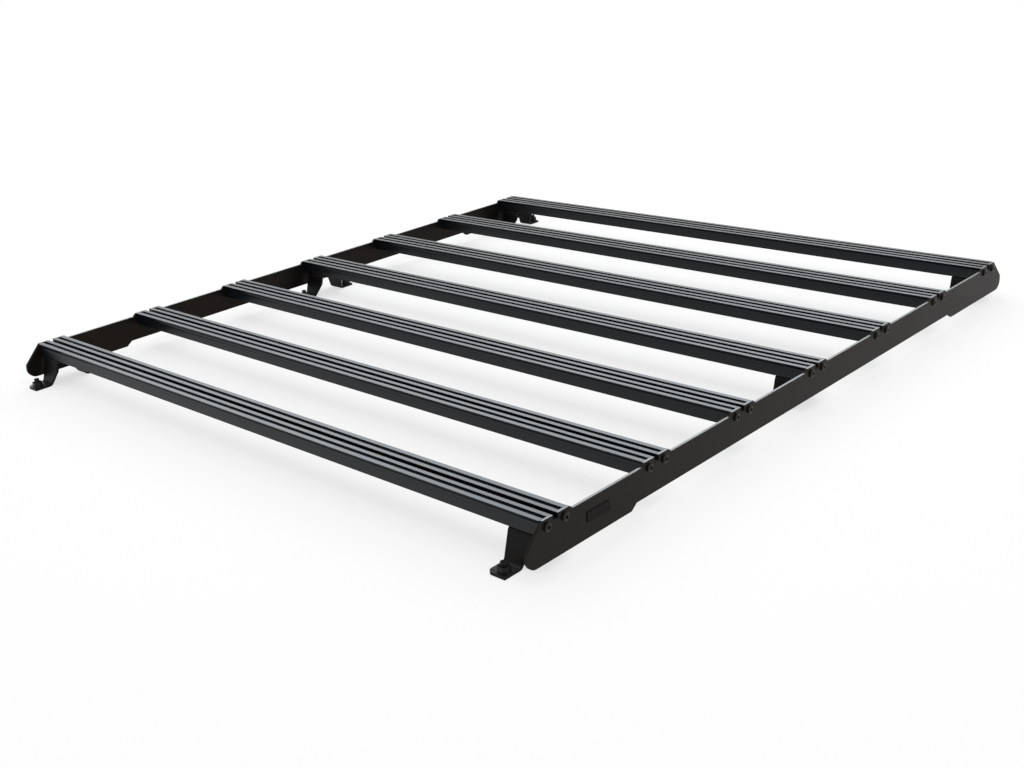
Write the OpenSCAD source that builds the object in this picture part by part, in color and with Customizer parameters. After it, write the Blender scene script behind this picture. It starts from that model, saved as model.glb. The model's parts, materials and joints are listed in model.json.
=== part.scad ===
// Truck bed rack: seven slotted slats between two profiled side plates, on six clamp feet.
// Length in millimetres. X runs across the bed, Y along it, Z up from the underside of the foot tabs.

/* [Deck] */
// Width over the outer faces of the side plates
rack_w = 1425; // [1250:5:1600]
// Distance from one slat to the next
slat_pitch = 238; // [214:1:270]
// Depth of a slat along the bed
slat_w = 61; // [59:0.5:66]
// Height of a slat
slat_h = 27.5; // [25:0.5:34]

/* [Slat profile] */
// Mouth of the T slots in the top and the underside
slot_mouth = 9.8; // [8:0.2:10.4]
// Width of the T slot behind its lips
slot_w = 18; // [15:0.5:19]
// Depth of the T slot behind its lips
slot_d = 8; // [6:0.2:9]
// Thickness of the lips that hold a nut in the T slot
lip_t = 3; // [2:0.1:3.4]
// Thickness of the outer walls
wall_t = 2.2; // [1.6:0.1:2.6]
// Distance of the drip grooves from the middle of the slat
groove_off = 17.1; // [16:0.1:19]
// Width of the drip grooves
groove_w = 8; // [4:0.1:9]
// Depth of the drip grooves
groove_d = 3.4; // [1:0.1:3.6]
// Overhang of the thin edge at each side of the top
edge_over = 2.5; // [1.5:0.1:3]
// Radius of the hollow under that edge
cove_r = 13; // [10:0.5:13.5]
// Depth of the middle of the hollow below the top
cove_z = 9.3; // [9.3:0.1:12]
// Distance of the screw bosses from the middle of the slat
boss_off = 19.5; // [18:0.1:21]
// Depth of the screw bosses below the top
boss_z = 12; // [10.5:0.1:13]
// Bore of the screw bosses
boss_bore = 8.6; // [7:0.1:9]

/* [Side plates] */
// Thickness of the side plates
plate_t = 5; // [3:0.1:6]
// Length of the nose in front of the first slat and behind the last
nose_len = 37.5; // [25:0.5:60]
// Depth of the side plates at the ends
plate_deep = 68; // [64:0.5:76]
// Depth of the side plates between the ends
plate_mid = 58.5; // [50:0.5:62]
// Length of the deep part, from the first slat's front
deep_len = 200; // [140:1:230]
// Length of the sloping step under the plate
step_len = 13; // [8:1:30]
// Drop of the top edge between two slats
edge_drop = 6; // [2:0.5:9]
// Length of the slope at each side of a tab
tab_slope = 7; // [3:0.5:12]
// Overhang of a tab beyond its slat
tab_over = 0.5; // [0:0.5:8]
// Width of the notch that opens the T slot at its ends
notch_w = 10.5; // [9.4:0.1:14]
// Depth of that notch
notch_d = 11; // [6:0.2:13]

/* [Feet] */
// Distance of a foot from the outer face of its side plate
foot_in = 17; // [12:0.5:40]
// Width of a foot across the bed, at the top
foot_w = 51.5; // [46:0.5:64]
// Thickness of the foot sheet
foot_t = 5; // [4.6:0.1:6]
// Length of the flat of a leg between its two bends
leg_len = 41.5; // [28:0.5:60]
// Inner radius of the bend at the top of a leg
bend_top = 3; // [1:0.5:6]
// Inner radius of the bend above the tab
bend_low = 6; // [3:0.5:9]
// Length of the flat tab in front of the lower bend
tab_len = 31.5; // [28:0.5:60]
// Width of a tab, from the straight side of the foot
tab_w = 35; // [32:0.5:44]
// Height above the tab at which the sloping side of the foot starts
taper_h = 27; // [10:0.5:38]
// Distance of the clamp bolt from the free end and from the sloping side of its tab
bolt_edge = 11; // [11:0.5:14]
// Radius of the tab's corner at the straight side
tab_round = 10; // [1:0.5:12]

/* [Fasteners] */
// Diameter of the clamp bolts
clamp_d = 10; // [8:0.5:12]
// Diameter of the countersunk head of the clamp bolts
clamp_head_d = 18; // [15:0.5:20]
// Height of that head
clamp_head_h = 4; // [2:0.1:4.4]
// Diameter of the flange of the clamp nut
flange_d = 21; // [20:0.5:22]
// Thickness of that flange
flange_t = 2; // [1:0.1:3]
// Width across the flats of the clamp nut
nut_af = 17; // [16:0.5:17]
// Height of its hexagon
nut_h = 9; // [5:0.5:10]
// Length of bolt above the clamp nut
bolt_end = 6.5; // [1:0.5:12]
// Diameter of the slat screws and the slot bolts
screw_d = 8; // [6:0.1:8]
// Head diameter of the slat screws
screw_head_d = 14; // [12:0.5:16]
// Head height of the slat screws
screw_head_h = 4.4; // [2:0.1:6]
// Length of the slat screws in their bosses
screw_len = 22; // [12:1:40]
// Half the distance between the two slot bolts of a foot
slot_bolt_off = 9; // [8.5:0.5:9.5]
// Side of the square head that sits in the T slot
slot_head = 15; // [12:0.5:15]
// Thickness of that square head
slot_head_h = 5; // [3:0.5:6]
// Width across the flats of the slot nut
slot_nut_af = 13; // [12:0.5:14]
// Height of the slot nut
slot_nut_h = 6.5; // [4:0.5:8]

/* [Hidden] */
$fn = 48;

// Number of slats, and which of them stand on feet
slats = 7;
last = slats - 1;
mid = last / 2;

// Overall sizes that follow from the values above
span = last * slat_pitch + slat_w;
// Directions down the leg and square to it: sides of 7, 24 and 25, so that both are exact
leg_dir = [7, -24] / 25;
leg_out = [24, 7] / 25;
// Rise from the top of the foot tab to the underside of the slat
foot_rise = (foot_t + bend_top + bend_low) * (1 - leg_out[1]) - leg_len * leg_dir[1];
deck_z = foot_t + foot_rise + slat_h;
slat_len = rack_w - 2 * plate_t;
foot_x = rack_w / 2 - foot_in - foot_w / 2;
// A cut runs this far past the face that it opens
past = 1;
// Gap round a shank in its hole
slack = 0.3;

// Middle of slat number i along the bed
function slat_y(i) = -span / 2 + slat_w / 2 + i * slat_pitch;

// Half the width of the slat below its edges, and how far the hollow goes in behind that face
face = slat_w / 2 - edge_over;
cove_in = 0.3;
// Middle of the last slat, up to its face: there the slope of the plate's nose starts
plate_end = span / 2 - edge_over;

// Place of the bends of a leg, measured from the middle of the slat and its underside
bend1 = [face + 1 - (bend_top + foot_t) * leg_out[0], -foot_t - bend_top];
bend2 = bend1 + (bend_top + foot_t + bend_low) * leg_out + leg_len * leg_dir;
tab_end = bend2[0] + tab_len;
// Edge of a tab at the sloping side, and the clamp bolts, measured from the middle of the foot
tab_x = tab_w - foot_w / 2;
clamp_y = tab_end - bolt_edge;
clamp_x = tab_x - bolt_edge;

// Colour of the coating, and of the fasteners
coat = [0.12, 0.12, 0.13];
dark_zinc = [0.2, 0.2, 0.2];

// Mirrors its children about the middle plane of a slat or a foot
module both_y() {
    children();
    mirror([0, 1, 0]) children();
}

// The same for a flat profile
module both_x2() {
    children();
    mirror([1, 0]) children();
}

// Outline of the slat without its slots, hollows and chambers, top at zero
module slat_outline() {
    edge = 0.4;
    right = [
        [face - edge, -slat_h], [face, -slat_h + edge], [face, -cove_z],
        [slat_w / 2, -cove_z], [slat_w / 2, -edge], [slat_w / 2 - edge, 0]
    ];
    left = [for (i = [len(right) - 1 : -1 : 0]) [-right[i][0], right[i][1]]];
    polygon(concat(right, left));
}

// One T slot, open at the top
module tee_slot() {
    translate([-slot_mouth / 2, -lip_t - past]) square([slot_mouth, lip_t + 2 * past]);
    translate([-slot_w / 2, -lip_t - slot_d]) square([slot_w, slot_d]);
}

// Hollow chamber beside the T slots, around the screw boss that fills its upper outer corner
module side_chamber() {
    rib = 2;
    shoulder = 3.8;
    inner = slot_w / 2 + wall_t;
    outer = face - cove_in - wall_t;
    top = -groove_d - wall_t;
    difference() {
        translate([inner, -slat_h + wall_t]) square([outer - inner, top + slat_h - wall_t]);
        translate([boss_off, -boss_z]) circle(r = boss_bore / 2 + rib);
        translate([boss_off - shoulder, -boss_z]) square([slat_w / 2, slat_h]);
        translate([0, -boss_z - rib / 2]) square([boss_off, rib]);
    }
}

// Cross-section of the slat
module slat_profile() {
    difference() {
        slat_outline();
        tee_slot();
        translate([0, -slat_h]) mirror([0, 1]) tee_slot();
        both_x2() {
            translate([groove_off - groove_w / 2, -groove_d])
                square([groove_w, groove_d + past]);
            side_chamber();
            translate([boss_off, -boss_z]) circle(d = boss_bore);
            translate([face - cove_in + cove_r, -cove_z]) circle(r = cove_r);
        }
    }
}

// Slat number i, from one side plate to the other
module slat(i) {
    translate([-slat_len / 2, slat_y(i), deck_z])
        rotate([90, 0, 90])
            linear_extrude(height = slat_len) slat_profile();
}

// Notch and screw holes at one slat, cut from the side plate
module tab_cuts() {
    translate([-notch_w / 2, -notch_d + notch_w / 2])
        square([notch_w, notch_d - notch_w / 2 + past]);
    translate([0, -notch_d + notch_w / 2]) circle(d = notch_w);
    for (s = [-1, 1])
        translate([s * boss_off, -boss_z]) circle(d = screw_d + 2 * slack);
}

// One half of the side plate's outline, from the middle of the rack to its nose
module plate_half() {
    nose_top = 38.5;
    round_r = 20;
    tip = plate_end + nose_len;
    polygon([
        [0, -plate_mid], [plate_end - deep_len - step_len, -plate_mid],
        [plate_end - deep_len, -plate_deep], [tip - round_r, -plate_deep],
        [tip, -plate_deep + round_r], [tip - 1, -nose_top],
        [plate_end, 0], [0, 0]
    ]);
    intersection() {
        translate([tip - round_r, -plate_deep + round_r]) circle(r = round_r);
        translate([tip - round_r, -plate_deep]) square(round_r);
    }
}

// Strip that lowers the plate's top edge between slat i and the next
module edge_dip(i) {
    a = slat_y(i) + slat_w / 2 + tab_over;
    b = slat_y(i + 1) - slat_w / 2 - tab_over;
    polygon([
        [a, past], [a, 0], [a + tab_slope, -edge_drop],
        [b - tab_slope, -edge_drop], [b, 0], [b, past]
    ]);
}

// Side plate with its outer face at x = 0, lying towards positive x
module side_plate() {
    translate([0, 0, deck_z]) rotate([90, 0, 90]) linear_extrude(height = plate_t)
        difference() {
            both_x2() plate_half();
            for (i = [0 : last - 1]) edge_dip(i);
            for (i = [0 : last]) translate([slat_y(i), 0]) tab_cuts();
        }
}

// Button-head screw along x, with the underside of its head at x = 0
module slat_screw() {
    crown = 1.6;
    socket_d = 5.6;
    socket_h = 2.4;
    rotate([0, 90, 0]) difference() {
        union() {
            cylinder(d = screw_d, h = plate_t + screw_len);
            mirror([0, 0, 1]) cylinder(d = screw_head_d, h = screw_head_h - crown);
            translate([0, 0, -screw_head_h])
                cylinder(d1 = screw_head_d * 0.6, d2 = screw_head_d, h = crown);
        }
        translate([0, 0, -screw_head_h - past])
            cylinder(d = socket_d, h = socket_h + past, $fn = 6);
    }
}

// The fourteen screws of one side plate
module side_screws() {
    for (i = [0 : last], s = [-1, 1])
        translate([0, slat_y(i) + s * boss_off, deck_z - boss_z]) slat_screw();
}

// Quarter of a ring or a little less, between the upright and the line square to the leg, on
// the side of its centre that dir gives: 1 for up and outwards, -1 for down and inwards
module bend(r, dir) {
    far = 3 * (r + foot_t);
    intersection() {
        difference() {
            circle(r = r + foot_t);
            circle(r = r);
        }
        polygon(dir * far * [[0, 0], leg_out, [1, 1], [0, 1]]);
    }
}

// Bent foot sheet seen from the side, top face at zero
module foot_side() {
    leg_top = bend1 + bend_top * leg_out;
    leg_end = leg_top + leg_len * leg_dir;
    sheet = foot_t * leg_out;
    tab_z = bend2[1] - bend_low;
    polygon([
        [-bend1[0], -foot_t], [bend1[0], -foot_t], [bend1[0], 0], [-bend1[0], 0]
    ]);
    both_x2() {
        translate(bend1) bend(bend_top, 1);
        polygon([leg_top, leg_end, leg_end + sheet, leg_top + sheet]);
        translate(bend2) bend(bend_low, -1);
        polygon([
            [bend2[0], tab_z - foot_t], [tab_end, tab_z - foot_t],
            [tab_end, tab_z], [bend2[0], tab_z]
        ]);
    }
}

// Foot sheet seen from above, turned a quarter: the straight side at the top, with a round
// corner at each free end
module foot_plan() {
    wide = foot_w / 2;
    translate([-tab_end, -wide]) square([2 * tab_end, foot_w - tab_round]);
    translate([-tab_end + tab_round, -wide]) square([2 * (tab_end - tab_round), foot_w]);
    for (a = [-1, 1])
        translate([a * (tab_end - tab_round), wide - tab_round]) circle(r = tab_round);
}

// What the sloping side takes off the foot, seen from the front
module foot_taper() {
    wide = foot_w / 2;
    polygon([
        [tab_x, -foot_rise - foot_t - past], [tab_x, -foot_rise],
        [wide, -foot_rise + taper_h], [wide + past, -foot_rise + taper_h],
        [wide + past, -foot_rise - foot_t - past]
    ]);
}

// Places what belongs to the foot under slat i, at the left for side = -1 and at the right for
// side = 1: all six feet slope on the same side
module at_foot(i, side) {
    translate([side * foot_x, slat_y(i), deck_z - slat_h]) children();
}

// Bent sheet foot with its bolt holes
module foot() {
    low = -foot_rise - foot_t;
    difference() {
        intersection() {
            translate([-foot_w / 2, 0, 0]) rotate([90, 0, 90])
                linear_extrude(height = foot_w) foot_side();
            rotate(90) translate([0, 0, low - past])
                linear_extrude(height = foot_rise + foot_t + 2 * past) foot_plan();
        }
        translate([0, tab_end + past, 0]) rotate([90, 0, 0])
            linear_extrude(height = 2 * (tab_end + past)) foot_taper();
        both_y() translate([clamp_x, clamp_y, low]) {
            translate([0, 0, -past])
                cylinder(d = clamp_d + 2 * slack, h = foot_t + 2 * past);
            cylinder(d1 = clamp_head_d + 2 * slack, d2 = clamp_d + 2 * slack, h = clamp_head_h);
        }
        for (s = [-1, 1]) translate([s * slot_bolt_off, 0, -foot_t - past])
            cylinder(d = screw_d + 2 * slack, h = foot_t + 2 * past);
    }
}

// Two countersunk bolts of one foot, flush with the underside of the tabs
module clamp_bolts() {
    long = foot_t + flange_t + nut_h + bolt_end;
    both_y() translate([clamp_x, clamp_y, -foot_rise - foot_t]) {
        cylinder(d1 = clamp_head_d, d2 = clamp_d, h = clamp_head_h);
        translate([0, 0, clamp_head_h / 2]) cylinder(d = clamp_d, h = long - clamp_head_h / 2);
    }
}

// Two flange nuts on top of the tabs of one foot
module clamp_nuts() {
    both_y() translate([clamp_x, clamp_y, -foot_rise]) difference() {
        union() {
            cylinder(d = flange_d, h = flange_t);
            cylinder(d = nut_af / cos(30), h = flange_t + nut_h, $fn = 6);
        }
        translate([0, 0, -past])
            cylinder(d = clamp_d + 2 * slack, h = flange_t + nut_h + 2 * past);
    }
}

// Two square-head bolts that hold the foot in the lower T slot
module slot_bolts() {
    tail = 3;
    for (s = [-1, 1]) translate([s * slot_bolt_off, 0, 0]) {
        translate([-slot_head / 2, -slot_head / 2, lip_t])
            cube([slot_head, slot_head, slot_head_h]);
        translate([0, 0, -foot_t - slot_nut_h - tail])
            cylinder(d = screw_d, h = foot_t + slot_nut_h + tail + lip_t + past);
        translate([0, 0, -foot_t - slot_nut_h])
            cylinder(d = slot_nut_af / cos(30), h = slot_nut_h, $fn = 6);
    }
}

module slat_1() color(coat) slat(0);
module slat_2() color(coat) slat(1);
module slat_3() color(coat) slat(2);
module slat_4() color(coat) slat(3);
module slat_5() color(coat) slat(4);
module slat_6() color(coat) slat(5);
module slat_7() color(coat) slat(6);
module left_side_plate() color(coat) translate([-rack_w / 2, 0, 0]) side_plate();
module right_side_plate() color(coat) translate([rack_w / 2 - plate_t, 0, 0]) side_plate();
module left_side_screws() color(dark_zinc) translate([-rack_w / 2, 0, 0]) side_screws();
module right_side_screws() color(dark_zinc)
    translate([rack_w / 2, 0, 0]) mirror([1, 0, 0]) side_screws();
module front_left_foot() color(coat) at_foot(0, -1) foot();
module front_right_foot() color(coat) at_foot(0, 1) foot();
module middle_left_foot() color(coat) at_foot(mid, -1) foot();
module middle_right_foot() color(coat) at_foot(mid, 1) foot();
module rear_left_foot() color(coat) at_foot(last, -1) foot();
module rear_right_foot() color(coat) at_foot(last, 1) foot();
module front_left_clamp_bolts() color(dark_zinc) at_foot(0, -1) clamp_bolts();
module front_right_clamp_bolts() color(dark_zinc) at_foot(0, 1) clamp_bolts();
module middle_left_clamp_bolts() color(dark_zinc) at_foot(mid, -1) clamp_bolts();
module middle_right_clamp_bolts() color(dark_zinc) at_foot(mid, 1) clamp_bolts();
module rear_left_clamp_bolts() color(dark_zinc) at_foot(last, -1) clamp_bolts();
module rear_right_clamp_bolts() color(dark_zinc) at_foot(last, 1) clamp_bolts();
module front_left_clamp_nuts() color(dark_zinc) at_foot(0, -1) clamp_nuts();
module front_right_clamp_nuts() color(dark_zinc) at_foot(0, 1) clamp_nuts();
module middle_left_clamp_nuts() color(dark_zinc) at_foot(mid, -1) clamp_nuts();
module middle_right_clamp_nuts() color(dark_zinc) at_foot(mid, 1) clamp_nuts();
module rear_left_clamp_nuts() color(dark_zinc) at_foot(last, -1) clamp_nuts();
module rear_right_clamp_nuts() color(dark_zinc) at_foot(last, 1) clamp_nuts();
module front_left_slot_bolts() color(dark_zinc) at_foot(0, -1) slot_bolts();
module front_right_slot_bolts() color(dark_zinc) at_foot(0, 1) slot_bolts();
module middle_left_slot_bolts() color(dark_zinc) at_foot(mid, -1) slot_bolts();
module middle_right_slot_bolts() color(dark_zinc) at_foot(mid, 1) slot_bolts();
module rear_left_slot_bolts() color(dark_zinc) at_foot(last, -1) slot_bolts();
module rear_right_slot_bolts() color(dark_zinc) at_foot(last, 1) slot_bolts();

slat_1();
slat_2();
slat_3();
slat_4();
slat_5();
slat_6();
slat_7();
left_side_plate();
right_side_plate();
left_side_screws();
right_side_screws();
front_left_foot();
front_right_foot();
middle_left_foot();
middle_right_foot();
rear_left_foot();
rear_right_foot();
front_left_clamp_bolts();
front_right_clamp_bolts();
middle_left_clamp_bolts();
middle_right_clamp_bolts();
rear_left_clamp_bolts();
rear_right_clamp_bolts();
front_left_clamp_nuts();
front_right_clamp_nuts();
middle_left_clamp_nuts();
middle_right_clamp_nuts();
rear_left_clamp_nuts();
rear_right_clamp_nuts();
front_left_slot_bolts();
front_right_slot_bolts();
middle_left_slot_bolts();
middle_right_slot_bolts();
rear_left_slot_bolts();
rear_right_slot_bolts();
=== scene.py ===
"""Looks for a black truck bed rack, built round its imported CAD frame.

The rack is a flat carrier: slotted aluminium slats between two profiled side plates, on bent
sheet feet. The frame gives every solid. This script dresses the solids, adds the bare badge
plate on the right-hand side plate, and sets the studio and the camera.
"""

import json
import logging
import math
from dataclasses import dataclass, field
from enum import Enum

import bmesh
import bpy
from mathutils import Matrix, Vector

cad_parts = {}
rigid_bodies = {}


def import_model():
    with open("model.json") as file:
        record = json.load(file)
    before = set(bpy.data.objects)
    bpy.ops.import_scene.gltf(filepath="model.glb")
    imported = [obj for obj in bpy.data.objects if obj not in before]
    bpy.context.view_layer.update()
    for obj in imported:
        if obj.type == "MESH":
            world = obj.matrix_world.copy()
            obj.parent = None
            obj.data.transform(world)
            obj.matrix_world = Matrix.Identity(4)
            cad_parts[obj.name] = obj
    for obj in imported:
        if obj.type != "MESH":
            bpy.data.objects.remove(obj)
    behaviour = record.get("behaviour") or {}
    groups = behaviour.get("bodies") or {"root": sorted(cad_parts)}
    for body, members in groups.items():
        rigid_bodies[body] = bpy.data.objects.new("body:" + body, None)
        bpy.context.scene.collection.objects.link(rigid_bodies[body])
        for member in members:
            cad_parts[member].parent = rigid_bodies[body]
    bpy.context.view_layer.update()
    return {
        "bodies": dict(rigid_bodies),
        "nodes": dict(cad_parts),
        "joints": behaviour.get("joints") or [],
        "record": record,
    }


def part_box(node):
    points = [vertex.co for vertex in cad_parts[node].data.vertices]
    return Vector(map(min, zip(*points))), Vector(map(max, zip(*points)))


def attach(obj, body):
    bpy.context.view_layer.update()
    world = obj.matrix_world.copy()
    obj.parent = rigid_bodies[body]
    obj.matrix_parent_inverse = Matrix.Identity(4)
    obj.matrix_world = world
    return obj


LOG = logging.getLogger("bed_rack")
BODY = "root"
MM = 0.001
WHITE = "ffffff"
# Range of a noise's values that is spread over a pattern: the busy middle, or most of them
NOISE_MIDDLE = {"From Min": 0.3, "From Max": 0.7}
NOISE_MOST = {"From Min": 0.25, "From Max": 0.75}


class Slot(str, Enum):
    """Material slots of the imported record."""

    SLAT = "slat_coat"
    PLATE = "plate_coat"
    FOOT = "foot_coat"
    BOLT = "black_bolt"
    SCREW = "black_screw"


class PaintedLightFacing(Enum):
    """Way a face looks: the heights of its unit normal where a look sets in and is full.

    The look up is a painted highlight, and the look down is a painted shade.
    """

    UP = (0.9, 0.99)
    DOWN = (-0.08, -0.35)


def linear(hex_value: str) -> tuple[float, float, float, float]:
    """Turn an sRGB hex colour into linear RGBA.

    Args:
        hex_value: six hex digits, such as "1c1d1f".

    Returns:
        The linear colour with an alpha of 1.
    """
    channels = []
    for start in (0, 2, 4):
        value = int(hex_value[start:start + 2], 16) / 255
        channels.append(value / 12.92 if value <= 0.04045 else ((value + 0.055) / 1.055) ** 2.4)
    return (channels[0], channels[1], channels[2], 1.0)


def add_node(
    tree: bpy.types.NodeTree,
    kind: str,
    settings: dict[str, object] | None = None,
    inputs: dict[str | int, object] | None = None,
) -> bpy.types.Node:
    """Add a node with its settings, and set or link its inputs.

    Args:
        tree: node tree that gets the node.
        kind: the node's type name.
        settings: attributes of the node, such as operation or data_type.
        inputs: value, or output socket to link, for each input by name or index.

    Returns:
        The new node.
    """
    node = tree.nodes.new(kind)
    for name, value in (settings or {}).items():
        setattr(node, name, value)
    for name, value in (inputs or {}).items():
        socket = node.inputs[name]
        if isinstance(value, bpy.types.NodeSocket):
            tree.links.new(value, socket)
        else:
            socket.default_value = value
    return node


@dataclass(frozen=True)
class Sheen:
    """How a coat mirrors the light on the faces that look one way.

    A gloss of 0.5 is that of plain lacquer. The roughness swings a little to both sides with
    the coat's clouds and lines.
    """

    gloss: float
    roughness: float
    tint: str = WHITE
    swing: float = 0.035
    ior: float = 1.5

    def shade(
        self,
        tree: bpy.types.NodeTree,
        colour: bpy.types.NodeSocket,
        pattern: bpy.types.NodeSocket,
        normal: bpy.types.NodeSocket,
    ) -> bpy.types.NodeSocket:
        """Add the shader of this sheen.

        Args:
            tree: node tree that gets the nodes.
            colour: the coat's colour.
            pattern: noise of the coat's clouds and lines.
            normal: normal with the coat's peel and round edges.

        Returns:
            The shader's socket.
        """
        rough = add_node(tree, "ShaderNodeMapRange", {}, {
            "Value": pattern, **NOISE_MOST,
            "To Min": self.roughness - self.swing, "To Max": self.roughness + self.swing,
        }).outputs["Result"]
        return add_node(tree, "ShaderNodeBsdfPrincipled", {}, {
            "Base Color": colour, "Roughness": rough, "Normal": normal, "IOR": self.ior,
            "Specular IOR Level": self.gloss, "Specular Tint": linear(self.tint),
        }).outputs["BSDF"]


@dataclass(frozen=True)
class PowderCoat:
    """Satin black polyester powder coat, sprayed and baked on metal.

    The eye sees a soft sheen that is broken up by a very fine orange peel, with clouds of dust
    about 110 mm across that lift the black here and there. The peel of a real coat is about
    1 mm from crest to crest; it is drawn at 2.5 mm so that it shows in the render. Faces that
    look up get a sheen and roughness of their own, a painted highlight, and faces that look
    down get almost no sheen, a painted shade for the dark that lies under the rack.
    """

    name: str
    dark: str
    light: str
    side: Sheen
    top: Sheen
    under: Sheen
    streak: float = 0.0
    edge_mm: float = 0.8
    edge_samples: int = 4
    peel_mm: float = 2.5
    peel_depth_mm: float = 0.012
    peel_strength: float = 0.35
    clouds_per_m: float = 9.0
    lines_per_mm: float = 0.6
    lines_length_m: float = 1.25

    def build(self) -> bpy.types.Material:
        """Build the coat's node material.

        Returns:
            The finished material.
        """
        material = bpy.data.materials.new(self.name)
        material.use_nodes = True
        tree = material.node_tree
        tree.nodes.clear()
        place = add_node(tree, "ShaderNodeTexCoord").outputs["Object"]
        pattern = self.pattern(tree, place)
        tone = add_node(tree, "ShaderNodeMapRange", {}, {
            "Value": pattern, **NOISE_MIDDLE,
        }).outputs["Result"]
        colour = add_node(tree, "ShaderNodeMix", {"data_type": "RGBA"}, {
            "Factor": tone, 6: linear(self.dark), 7: linear(self.light),
        }).outputs[2]
        # Powder draws back from a sharp edge and leaves it round, which catches the light
        rounded = add_node(tree, "ShaderNodeBevel", {"samples": self.edge_samples}, {
            "Radius": self.edge_mm * MM,
        }).outputs["Normal"]
        normal = self.relief(tree, place, rounded)
        rise = add_node(tree, "ShaderNodeSeparateXYZ", {}, {0: rounded}).outputs["Z"]
        # Three copies of the coat, mixed by the way a face looks: painted highlight up, painted
        # shade down
        shader = self.side.shade(tree, colour, pattern, normal)
        for facing, sheen in ((PaintedLightFacing.UP, self.top), (PaintedLightFacing.DOWN, self.under)):
            start, full = facing.value
            share = add_node(tree, "ShaderNodeMapRange", {"interpolation_type": "SMOOTHSTEP"}, {
                "Value": rise, "From Min": start, "From Max": full,
            }).outputs["Result"]
            shader = add_node(tree, "ShaderNodeMixShader", {}, {
                0: share, 1: shader, 2: sheen.shade(tree, colour, pattern, normal),
            }).outputs["Shader"]
        add_node(tree, "ShaderNodeOutputMaterial", {}, {"Surface": shader})
        return material

    def pattern(
        self, tree: bpy.types.NodeTree, place: bpy.types.NodeSocket
    ) -> bpy.types.NodeSocket:
        """Mix the clouds of dust with the draw lines of an extrusion.

        Args:
            tree: node tree that gets the nodes.
            place: object coordinates.

        Returns:
            The mixed noise's socket.
        """
        cloud = add_node(tree, "ShaderNodeTexNoise", {}, {
            "Vector": place, "Scale": self.clouds_per_m, "Detail": 4.0, "Roughness": 0.55,
        }).outputs["Fac"]
        # The press leaves lines along the slat, finer than the 1.7 mm at which they are drawn
        across = self.lines_per_mm / MM
        along = add_node(tree, "ShaderNodeMapping", {}, {
            "Vector": place, "Scale": (1.0 / self.lines_length_m, across, across),
        }).outputs["Vector"]
        lines = add_node(tree, "ShaderNodeTexNoise", {}, {
            "Vector": along, "Scale": 1.0, "Detail": 2.0,
        }).outputs["Fac"]
        return add_node(tree, "ShaderNodeMix", {"data_type": "FLOAT"}, {
            "Factor": self.streak, "A": cloud, "B": lines,
        }).outputs["Result"]

    def relief(
        self,
        tree: bpy.types.NodeTree,
        place: bpy.types.NodeSocket,
        rounded: bpy.types.NodeSocket,
    ) -> bpy.types.NodeSocket:
        """Lay the coat's orange peel over the metal with its round edges.

        Args:
            tree: node tree that gets the nodes.
            place: object coordinates.
            rounded: normal of the metal with its edges rounded.

        Returns:
            The socket of the peeled normal.
        """
        peel = add_node(tree, "ShaderNodeTexNoise", {}, {
            "Vector": place, "Scale": 1.0 / (self.peel_mm * MM), "Detail": 2.0,
        }).outputs["Fac"]
        return add_node(tree, "ShaderNodeBump", {}, {
            "Strength": self.peel_strength, "Distance": self.peel_depth_mm * MM,
            "Height": peel, "Normal": rounded,
        }).outputs["Normal"]


@dataclass(frozen=True)
class BlackZinc:
    """Black zinc plate on turned and rolled steel.

    The eye sees a thin dark film over metal: a tight highlight, with faint clouds about 7 mm
    across where the bath took less.
    """

    name: str
    dark: str
    light: str
    roughness: float
    metallic: float
    gloss: float
    swing: float = 0.05
    clouds_per_m: float = 140.0

    def build(self) -> bpy.types.Material:
        """Build the plated steel's node material.

        Returns:
            The finished material.
        """
        material = bpy.data.materials.new(self.name)
        material.use_nodes = True
        tree = material.node_tree
        tree.nodes.clear()
        place = add_node(tree, "ShaderNodeTexCoord").outputs["Object"]
        cloud = add_node(tree, "ShaderNodeTexNoise", {}, {
            "Vector": place, "Scale": self.clouds_per_m, "Detail": 3.0,
        }).outputs["Fac"]
        colour = add_node(tree, "ShaderNodeMix", {"data_type": "RGBA"}, {
            "Factor": cloud, 6: linear(self.dark), 7: linear(self.light),
        }).outputs[2]
        rough = add_node(tree, "ShaderNodeMapRange", {}, {
            "Value": cloud, **NOISE_MIDDLE,
            "To Min": self.roughness - self.swing, "To Max": self.roughness + self.swing,
        }).outputs["Result"]
        shader = add_node(tree, "ShaderNodeBsdfPrincipled", {}, {
            "Base Color": colour, "Roughness": rough, "Metallic": self.metallic,
            "Specular IOR Level": self.gloss,
        }).outputs["BSDF"]
        add_node(tree, "ShaderNodeOutputMaterial", {}, {"Surface": shader})
        return material


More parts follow.
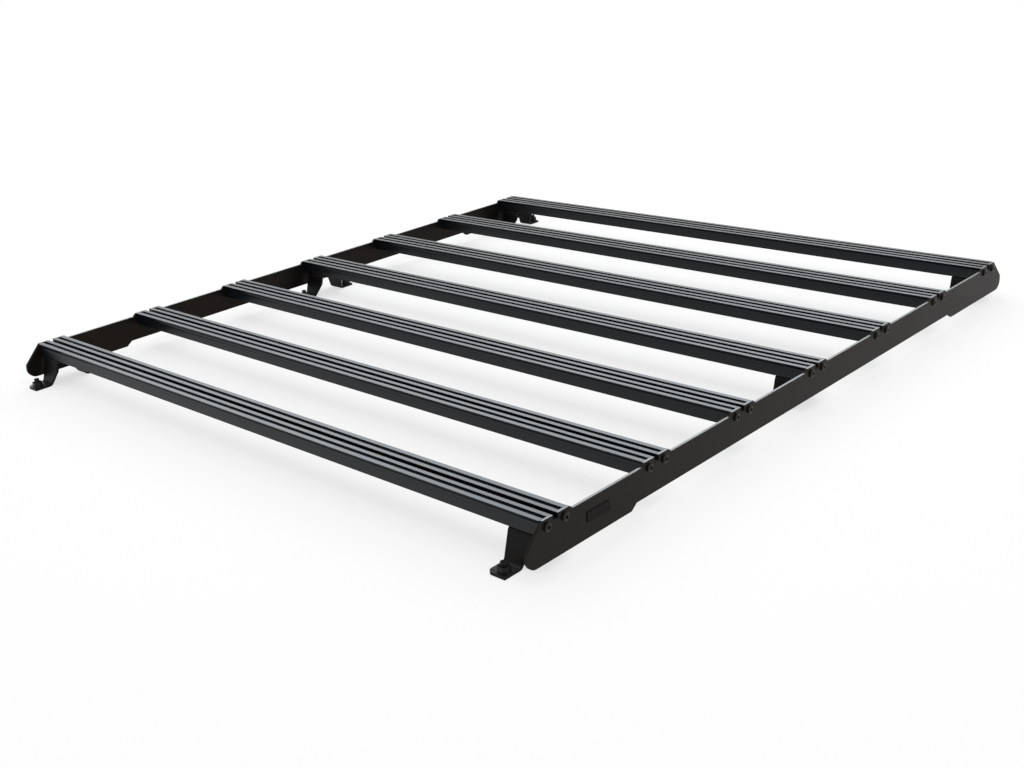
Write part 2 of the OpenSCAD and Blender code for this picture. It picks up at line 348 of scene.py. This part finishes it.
@dataclass
class RackFrame:
    """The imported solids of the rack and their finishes."""

    frame: dict
    finishes: dict[Slot, PowderCoat | BlackZinc] = field(default_factory=lambda: {
        # Extruded slats: faint draw lines under the coat, which looks cool in the light
        Slot.SLAT: PowderCoat(
            "powder_coat_extrusion", "090b0d", "111417",
            side=Sheen(gloss=0.25, roughness=0.34, tint="eef6ff"),
            # A painted highlight on the faces that look up, and a painted shade on those that
            # look down
            top=Sheen(gloss=0.28, roughness=0.27, tint="eaf5ff"),
            under=Sheen(gloss=0.02, roughness=0.34, tint="eef6ff"),
            streak=0.5, edge_mm=1.0,
        ),
        # Cut side plates: a plain coat, a little warm on the sides; the bright top edge is a
        # painted highlight
        Slot.PLATE: PowderCoat(
            "powder_coat_plate", "0e0d0d", "151413",
            side=Sheen(gloss=0.13, roughness=0.38, tint="ffe6d2"),
            top=Sheen(gloss=1.0, roughness=0.38),
            # A painted shade on the faces that look down
            under=Sheen(gloss=0.05, roughness=0.38, tint="ffe6d2"),
        ),
        # Bent sheet feet: a plain, darker coat whose shine on the webs and tabs is a painted
        # highlight
        Slot.FOOT: PowderCoat(
            "powder_coat_foot", "09090b", "101012",
            side=Sheen(gloss=0.1, roughness=0.38),
            top=Sheen(gloss=0.9, roughness=0.38),
            # A painted shade on the faces that look down
            under=Sheen(gloss=0.05, roughness=0.38),
        ),
        Slot.BOLT: BlackZinc(
            "black_zinc_bolt", "09090b", "141416", roughness=0.42, metallic=0.3, gloss=0.25,
        ),
        # The screws' film is thinner, so the metal shows through it, a little brown
        Slot.SCREW: BlackZinc(
            "black_zinc_screw", "14110e", "2a241d", roughness=0.30, metallic=0.6, gloss=0.4,
        ),
    })

    def dress(self) -> None:
        """Give every solid the finish of its material slot."""
        built = {slot: finish.build() for slot, finish in self.finishes.items()}
        for part in self.frame["record"]["subparts"]:
            solid = self.frame["nodes"][part["node"]]
            material = built[Slot(part["material_slot"])]
            if not solid.material_slots:
                solid.data.materials.append(material)
            for place in solid.material_slots:
                place.material = material
            LOG.info("dressed %s with %s", solid.name, material.name)


@dataclass
class BadgePlate:
    """Small bare plate on the outer face of the right side plate, near its front end.

    All sizes are in millimetres.
    """

    carrier: str = "right_side_plate"
    behind_front: float = 132.5
    above_edge: float = 24.98
    length: float = 53.0
    height: float = 17.0
    thickness: float = 1.2
    corner: float = 2.5
    corner_steps: int = 6
    ease: float = 0.3
    ease_steps: int = 2
    rim: float = 1.2
    sink: float = 0.35
    finish: PowderCoat = PowderCoat(
        "gloss_lacquer_badge", "060607", "0a0a0b",
        side=Sheen(gloss=0.08, roughness=0.24),
        # A painted highlight on the edge that looks up, and a painted shade on the one that
        # looks down
        top=Sheen(gloss=0.3, roughness=0.24),
        under=Sheen(gloss=0.05, roughness=0.24),
        edge_mm=0.3, peel_depth_mm=0.004,
    )

    def build(self) -> bpy.types.Object:
        """Model the plate, seat it on its carrier and dress it.

        Returns:
            The plate's object.
        """
        shape = self.shape()
        low, high = (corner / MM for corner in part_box(self.carrier))
        middle = Vector((
            high.x + self.thickness / 2,
            low.y + self.behind_front + self.length / 2,
            low.z + self.above_edge + self.height / 2,
        ))
        bmesh.ops.translate(shape, vec=middle, verts=shape.verts)
        bmesh.ops.scale(shape, vec=(MM, MM, MM), verts=shape.verts)
        bmesh.ops.recalc_face_normals(shape, faces=shape.faces)
        mesh = bpy.data.meshes.new("side_badge_plate")
        shape.to_mesh(mesh)
        shape.free()
        plate = bpy.data.objects.new("side_badge_plate", mesh)
        bpy.context.scene.collection.objects.link(plate)
        mesh.materials.append(self.finish.build())
        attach(plate, BODY)
        LOG.info("built %s", plate.name)
        return plate

    def shape(self) -> bmesh.types.BMesh:
        """Shape a plate with round corners, an eased rim and a slightly sunk field.

        Returns:
            The plate round the origin, facing along x.
        """
        shape = bmesh.new()
        bmesh.ops.create_cube(shape, size=1.0)
        bmesh.ops.scale(shape, vec=(self.thickness, self.length, self.height), verts=shape.verts)
        # The four corners are the edges that run through the plate's thickness
        half = self.thickness / 2
        corners = [e for e in shape.edges if abs(e.verts[0].co.x - e.verts[1].co.x) > half]
        bmesh.ops.bevel(
            shape, geom=corners, offset=self.corner, segments=self.corner_steps, profile=0.5,
            affect="EDGES", material=-1,
        )
        outer = max(shape.faces, key=lambda face: face.calc_center_median().x)
        bmesh.ops.bevel(
            shape, geom=list(outer.edges), offset=self.ease, segments=self.ease_steps,
            profile=0.5, affect="EDGES", material=-1,
        )
        outer = max(shape.faces, key=lambda face: face.calc_center_median().x)
        bmesh.ops.inset_region(shape, faces=[outer], thickness=self.rim, depth=0.0)
        bmesh.ops.inset_region(shape, faces=[outer], thickness=self.sink, depth=-self.sink)
        return shape


@dataclass(frozen=True)
class Softbox:
    """Rectangular soft lamp, with its places and sizes in metres and its power in watts."""

    name: str
    place: tuple[float, float, float]
    aim: tuple[float, float, float]
    width: float
    height: float
    power: float
    colour: str = WHITE

    def hang(self) -> None:
        """Hang the lamp at its place, turned to its aim and hidden from the camera."""
        lamp = bpy.data.lights.new(self.name, "AREA")
        lamp.shape = "RECTANGLE"
        lamp.size = self.width
        lamp.size_y = self.height
        lamp.energy = self.power
        lamp.color = linear(self.colour)[:3]
        box = bpy.data.objects.new(self.name, lamp)
        box.location = self.place
        ahead = Vector(self.aim) - Vector(self.place)
        box.rotation_euler = ahead.to_track_quat("-Z", "Y").to_euler()
        box.visible_camera = False
        bpy.context.scene.collection.objects.link(box)
        LOG.info("hung %s", self.name)


@dataclass
class Studio:
    """White sweep, soft lamps and the world that the coat mirrors, in metres."""

    floor_size: float = 40.0
    paper: str = "f7f7f7"
    paper_share: float = 0.32
    fade_from: float = 0.9
    fade_to: float = 2.6
    sky_level: float = 0.5
    # The slats' tops mirror the lower edge of the broad lamp behind the rack
    lamps: tuple[Softbox, ...] = (
        Softbox(
            "back_softbox", place=(-3.26, 3.26, 3.0), aim=(0.0, 0.0, 0.05),
            width=6.0, height=2.4, power=165.0, colour="f4faff",
        ),
        Softbox(
            "top_softbox", place=(0.4, -0.2, 4.2), aim=(0.0, 0.0, 0.0),
            width=4.0, height=4.0, power=95.0,
        ),
    )

    def build(self) -> None:
        """Build the floor, the world and the lamps."""
        self.floor()
        self.world()
        for lamp in self.lamps:
            lamp.hang()

    @staticmethod
    def seen(tree: bpy.types.NodeTree) -> bpy.types.NodeSocket:
        """Tell the rays that show the background from those that light the rack.

        Args:
            tree: node tree that gets the nodes.

        Returns:
            A socket that is 1 for camera, mirrored and transmitted rays, and otherwise 0.
        """
        path = add_node(tree, "ShaderNodeLightPath").outputs
        mirrored = add_node(tree, "ShaderNodeMath", {"operation": "MAXIMUM"}, {
            0: path["Is Camera Ray"], 1: path["Is Glossy Ray"],
        }).outputs["Value"]
        return add_node(tree, "ShaderNodeMath", {"operation": "MAXIMUM"}, {
            0: mirrored, 1: path["Is Transmission Ray"],
        }).outputs["Value"]

    def sweep(self) -> bpy.types.Material:
        """Build the white paper of the sweep.

        Near the rack the paper takes its shadow. Further out it gives way to plain white.

        Returns:
            The finished material.
        """
        material = bpy.data.materials.new("white_paper_sweep")
        material.use_nodes = True
        tree = material.node_tree
        tree.nodes.clear()
        paper = add_node(tree, "ShaderNodeBsdfDiffuse", {}, {
            "Color": linear(self.paper),
        }).outputs["BSDF"]
        glow = add_node(tree, "ShaderNodeEmission", {}, {
            "Color": linear(WHITE), "Strength": 1.0,
        }).outputs["Emission"]
        place = add_node(tree, "ShaderNodeTexCoord").outputs["Object"]
        reach = add_node(tree, "ShaderNodeVectorMath", {"operation": "LENGTH"}, {0: place})
        fade = add_node(tree, "ShaderNodeMapRange", {"interpolation_type": "SMOOTHSTEP"}, {
            "Value": reach.outputs["Value"], "From Min": self.fade_from,
            "From Max": self.fade_to, "To Min": 1.0 - self.paper_share, "To Max": 1.0,
        }).outputs["Result"]
        share = add_node(tree, "ShaderNodeMath", {"operation": "MULTIPLY"}, {
            0: self.seen(tree), 1: fade,
        }).outputs["Value"]
        both = add_node(tree, "ShaderNodeMixShader", {}, {0: share, 1: paper, 2: glow})
        add_node(tree, "ShaderNodeOutputMaterial", {}, {"Surface": both.outputs["Shader"]})
        return material

    def floor(self) -> None:
        """Lay the pale floor that keeps the rack's shadow."""
        shape = bmesh.new()
        bmesh.ops.create_grid(shape, x_segments=1, y_segments=1, size=self.floor_size / 2)
        mesh = bpy.data.meshes.new("studio_floor")
        shape.to_mesh(mesh)
        shape.free()
        mesh.materials.append(self.sweep())
        floor = bpy.data.objects.new("studio_floor", mesh)
        bpy.context.scene.collection.objects.link(floor)
        LOG.info("laid %s", floor.name)

    def world(self) -> None:
        """Light the scene with a plain white sky that the camera sees as white."""
        world = bpy.data.worlds.new("studio_world")
        world.use_nodes = True
        tree = world.node_tree
        tree.nodes.clear()
        level = add_node(tree, "ShaderNodeMapRange", {}, {
            "Value": self.seen(tree), "To Min": self.sky_level, "To Max": 1.0,
        }).outputs["Result"]
        sky = add_node(tree, "ShaderNodeBackground", {}, {
            "Color": linear(WHITE), "Strength": level,
        }).outputs["Background"]
        add_node(tree, "ShaderNodeOutputWorld", {}, {"Surface": sky})
        bpy.context.scene.world = world


@dataclass(frozen=True)
class PhotoCamera:
    """Camera at the photograph's viewing angle, in the rack's frame.

    The place is in metres and the angles in degrees: azimuth clockwise from +Y, elevation up
    from level and roll about the view.
    """

    place: tuple[float, float, float] = (1.8160, -1.9182, 0.90932)
    azimuth: float = -44.17
    elevation: float = -20.98
    roll: float = -4.25
    focal_px: float = 1288.9
    width_px: float = 1024.0
    sensor_mm: float = 36.0

    def build(self) -> None:
        """Set up the scene's camera."""
        az, el, roll = (math.radians(v) for v in (self.azimuth, self.elevation, self.roll))
        ahead = Vector((math.sin(az) * math.cos(el), math.cos(az) * math.cos(el), math.sin(el)))
        level = ahead.cross(Vector((0.0, 0.0, 1.0))).normalized()
        upright = level.cross(ahead)
        right = level * math.cos(roll) + upright * math.sin(roll)
        up = upright * math.cos(roll) - level * math.sin(roll)
        lens = bpy.data.cameras.new("photo_camera")
        lens.sensor_width = self.sensor_mm
        lens.lens = self.focal_px / self.width_px * self.sensor_mm
        camera = bpy.data.objects.new("photo_camera", lens)
        turn = Matrix((right, up, -ahead)).transposed().to_4x4()
        camera.matrix_world = Matrix.Translation(self.place) @ turn
        bpy.context.scene.collection.objects.link(camera)
        bpy.context.scene.camera = camera
        LOG.info("set up %s", camera.name)


def main() -> None:
    """Build the dressed rack, the studio and the camera."""
    logging.basicConfig(level=logging.INFO, format="%(name)s: %(message)s")
    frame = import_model()
    bpy.context.scene.view_settings.view_transform = "Standard"
    RackFrame(frame).dress()
    BadgePlate().build()
    Studio().build()
    PhotoCamera().build()


if __name__ == "__main__":
    main()
